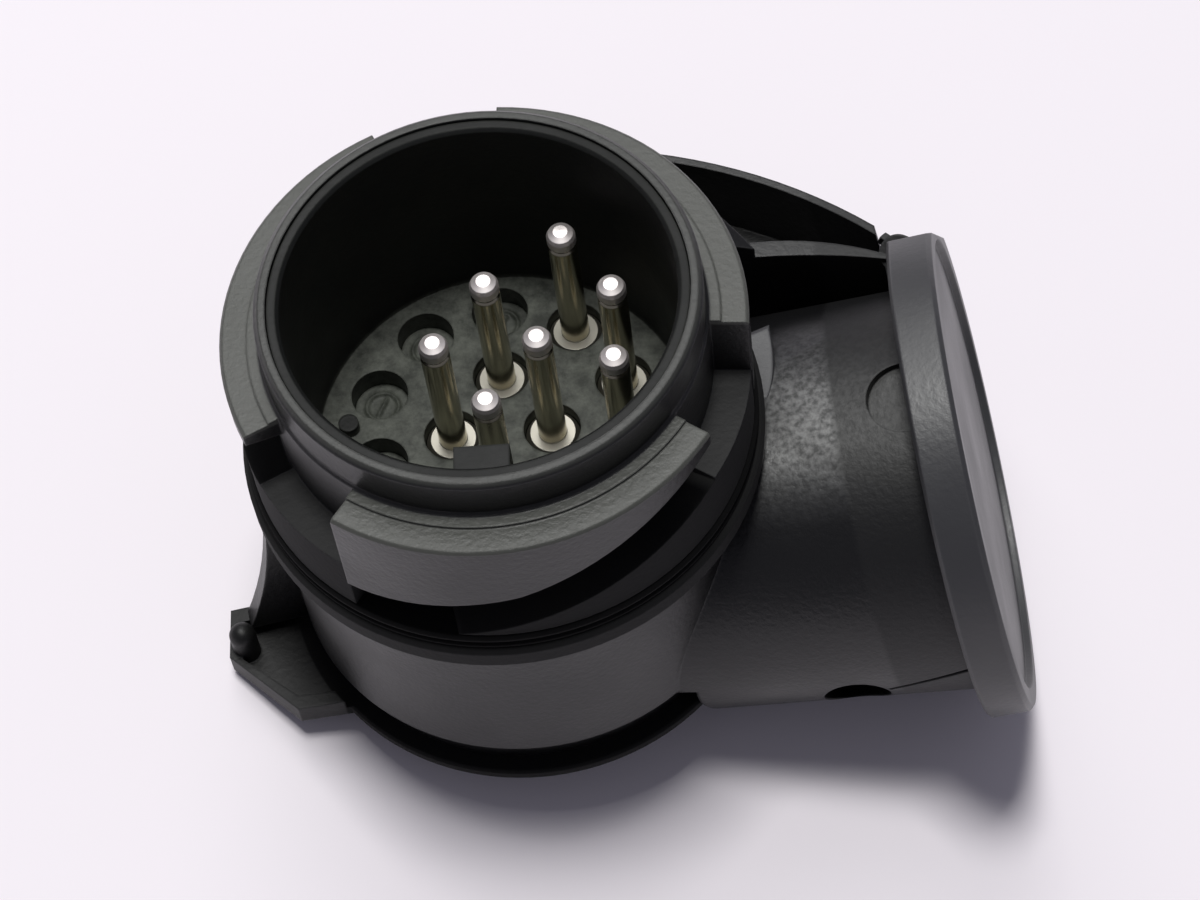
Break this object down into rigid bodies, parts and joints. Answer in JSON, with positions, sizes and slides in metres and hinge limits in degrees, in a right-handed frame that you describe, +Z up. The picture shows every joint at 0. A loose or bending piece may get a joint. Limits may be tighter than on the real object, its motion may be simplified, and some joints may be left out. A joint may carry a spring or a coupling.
{
  "type": "trailer plug adapter",
  "caption": "Bayonet plug with contact pins in a turning insert, joined to a slanted socket barrel with a sprung lid; it links a towing socket to a trailer plug of the older kind.",
  "frame": {"origin": "on the table, below the middle of the resting object's bounding box", "axes": "+Z up from the table, +X along the socket barrel towards its lid, +Y to the hinge side; the plug axis leans back from +Z towards -X as the object rests on the end cap's ear and the lid's lower rim"},
  "size_m": [0.0955, 0.0682, 0.0676],
  "materials": {
    "body_plastic": "satin black, fine grain",
    "insert_plastic": "satin dark grey",
    "lid_plastic": "satin dark grey",
    "seal_rubber": "matte black",
    "pin_metal": "nickel plated brass",
    "sleeve_brass": "plain",
    "steel": "plain"
  },
  "bodies": {
    "body": {"housing": "body_plastic", "retaining_ring": "body_plastic", "seal_ring": "seal_rubber", "end_cap": "body_plastic", "socket_insert": "insert_plastic", "socket_sleeve_1": "sleeve_brass", "socket_sleeve_2": "sleeve_brass", "socket_sleeve_3": "sleeve_brass", "socket_sleeve_4": "sleeve_brass", "socket_sleeve_5": "sleeve_brass", "socket_sleeve_6": "sleeve_brass", "socket_sleeve_7": "sleeve_brass", "hinge_pin": "steel", "lid_spring": "steel"},
    "insert": {"contact_insert": "insert_plastic", "plug_pin_1": "pin_metal", "plug_pin_2": "pin_metal", "plug_pin_3": "pin_metal", "plug_pin_4": "pin_metal", "plug_pin_5": "pin_metal", "plug_pin_6": "pin_metal", "plug_pin_7": "pin_metal", "pin_retainer": "insert_plastic"},
    "lid": {"lid": "lid_plastic", "lid_seal": "seal_rubber"}
  },
  "joints": [
    {"name": "insert_turn", "type": "hinge", "parent": "body", "child": "insert", "pos_m": [-0.01684, -0.0034, 0.03538], "axis": [-0.1899, 0.1364, 0.9723], "range_deg": [0, 90]},
    {"name": "lid_swing", "type": "hinge", "parent": "body", "child": "lid", "pos_m": [0.03056, 0.01812, 0.03248], "axis": [-0.3213, -0.3951, 0.8606], "range_deg": [0, 100], "stiffness_Nm_per_rad": 0.012, "springref_deg": -85.94, "deforming": ["lid_spring"]}
  ]
}
